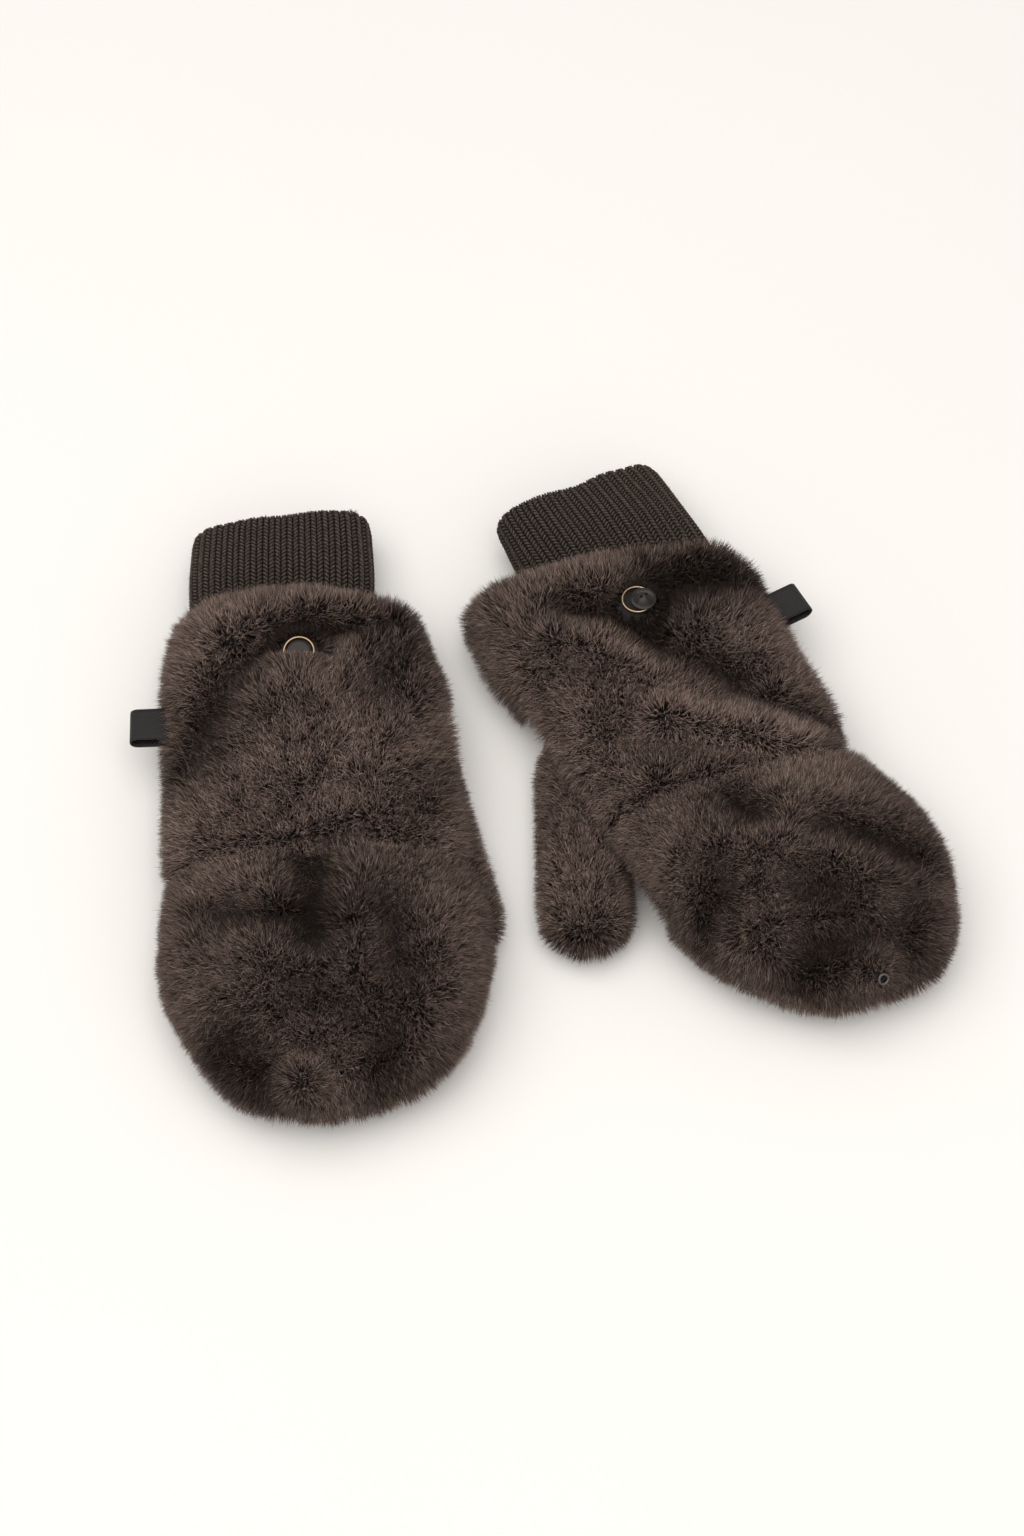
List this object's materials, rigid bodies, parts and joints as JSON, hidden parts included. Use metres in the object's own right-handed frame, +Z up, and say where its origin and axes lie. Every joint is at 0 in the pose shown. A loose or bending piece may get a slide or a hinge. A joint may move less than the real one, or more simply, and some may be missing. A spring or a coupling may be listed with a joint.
{
  "type": "convertible flip-top mittens",
  "caption": "Pair of faux-fur convertible mittens with knitted cuffs, whose caps fold back over the hand to a press snap and whose thumbs swing.",
  "frame": {"origin": "middle of the footprint of the pair, on the ground", "axes": "+Z up, the pair palms down; the fingers point to -Y and the cuffs to +Y; the right-hand mitten is at -X"},
  "size_m": [0.3084, 0.287, 0.048],
  "materials": {
    "faux_fur": "dense short straight pile, dark brown-black",
    "fleece_lining": "brushed fleece",
    "rib_knit": "fine knit in black yarn",
    "binding_tape": "woven tape",
    "ribbon": "ribbed grosgrain, slight sheen",
    "snap_brass": "polished antique brass",
    "snap_cap": "glossy dark dome with two holes",
    "snap_steel": "plain stamped steel"
  },
  "bodies": {
    "right_hand": {"right_back_shell": "faux_fur", "right_palm_shell": "faux_fur", "right_finger_opening_binding": "binding_tape", "right_hand_lining": "fleece_lining", "right_knit_cuff": "rib_knit", "right_cap_hinge_tape": "binding_tape", "right_snap_ring": "snap_brass", "right_snap_button": "snap_cap", "right_snap_backplate": "snap_steel"},
    "right_cap": {"right_cap_back_shell": "faux_fur", "right_cap_palm_shell": "faux_fur", "right_cap_lining": "fleece_lining", "right_cap_mouth_binding": "binding_tape", "right_cap_socket": "snap_steel", "right_cap_socket_washer": "snap_steel"},
    "right_thumb": {"right_thumb_shell": "faux_fur", "right_thumb_lining": "fleece_lining"},
    "right_ribbon": {"right_ribbon_loop": "ribbon"},
    "left_hand": {"left_back_shell": "faux_fur", "left_palm_shell": "faux_fur", "left_finger_opening_binding": "binding_tape", "left_hand_lining": "fleece_lining", "left_knit_cuff": "rib_knit", "left_cap_hinge_tape": "binding_tape", "left_snap_ring": "snap_brass", "left_snap_button": "snap_cap", "left_snap_backplate": "snap_steel"},
    "left_cap": {"left_cap_back_shell": "faux_fur", "left_cap_palm_shell": "faux_fur", "left_cap_lining": "fleece_lining", "left_cap_mouth_binding": "binding_tape", "left_cap_socket": "snap_steel", "left_cap_socket_washer": "snap_steel"},
    "left_thumb": {"left_thumb_shell": "faux_fur", "left_thumb_lining": "fleece_lining"},
    "left_ribbon": {"left_ribbon_loop": "ribbon"}
  },
  "joints": [
    {"name": "right_cap_flip", "type": "hinge", "parent": "right_hand", "child": "right_cap", "pos_m": [-0.07814, -0.05067, 0.0465], "axis": [-0.999, -0.0436, 0], "range_deg": [0, 178]},
    {"name": "right_thumb_swing", "type": "hinge", "parent": "right_hand", "child": "right_thumb", "pos_m": [-0.04896, 0.01467, 0.009], "axis": [0, 0, 1], "range_deg": [0, 11]},
    {"name": "right_ribbon_flop", "type": "hinge", "parent": "right_hand", "child": "right_ribbon", "pos_m": [-0.14195, 0.01461, 0.021], "axis": [-0.0436, 0.999, 0], "range_deg": [-20, 20]},
    {"name": "left_cap_flip", "type": "hinge", "parent": "left_hand", "child": "left_cap", "pos_m": [0.07536, -0.02067, 0.0465], "axis": [-0.8746, -0.4848, 0], "range_deg": [0, 178]},
    {"name": "left_thumb_swing", "type": "hinge", "parent": "left_hand", "child": "left_thumb", "pos_m": [0.01634, 0.0198, 0.009], "axis": [0, 0, -1], "range_deg": [-15.5, 9]},
    {"name": "left_ribbon_flop", "type": "hinge", "parent": "left_hand", "child": "left_ribbon", "pos_m": [0.09487, 0.0679, 0.021], "axis": [-0.4848, 0.8746, 0], "range_deg": [-20, 20]},
    {"name": "left_mitten_lift", "type": "slide", "parent": "right_hand", "child": "left_hand", "axis": [0, 0, 1], "range_m": [0, 0.12]}
  ]
}
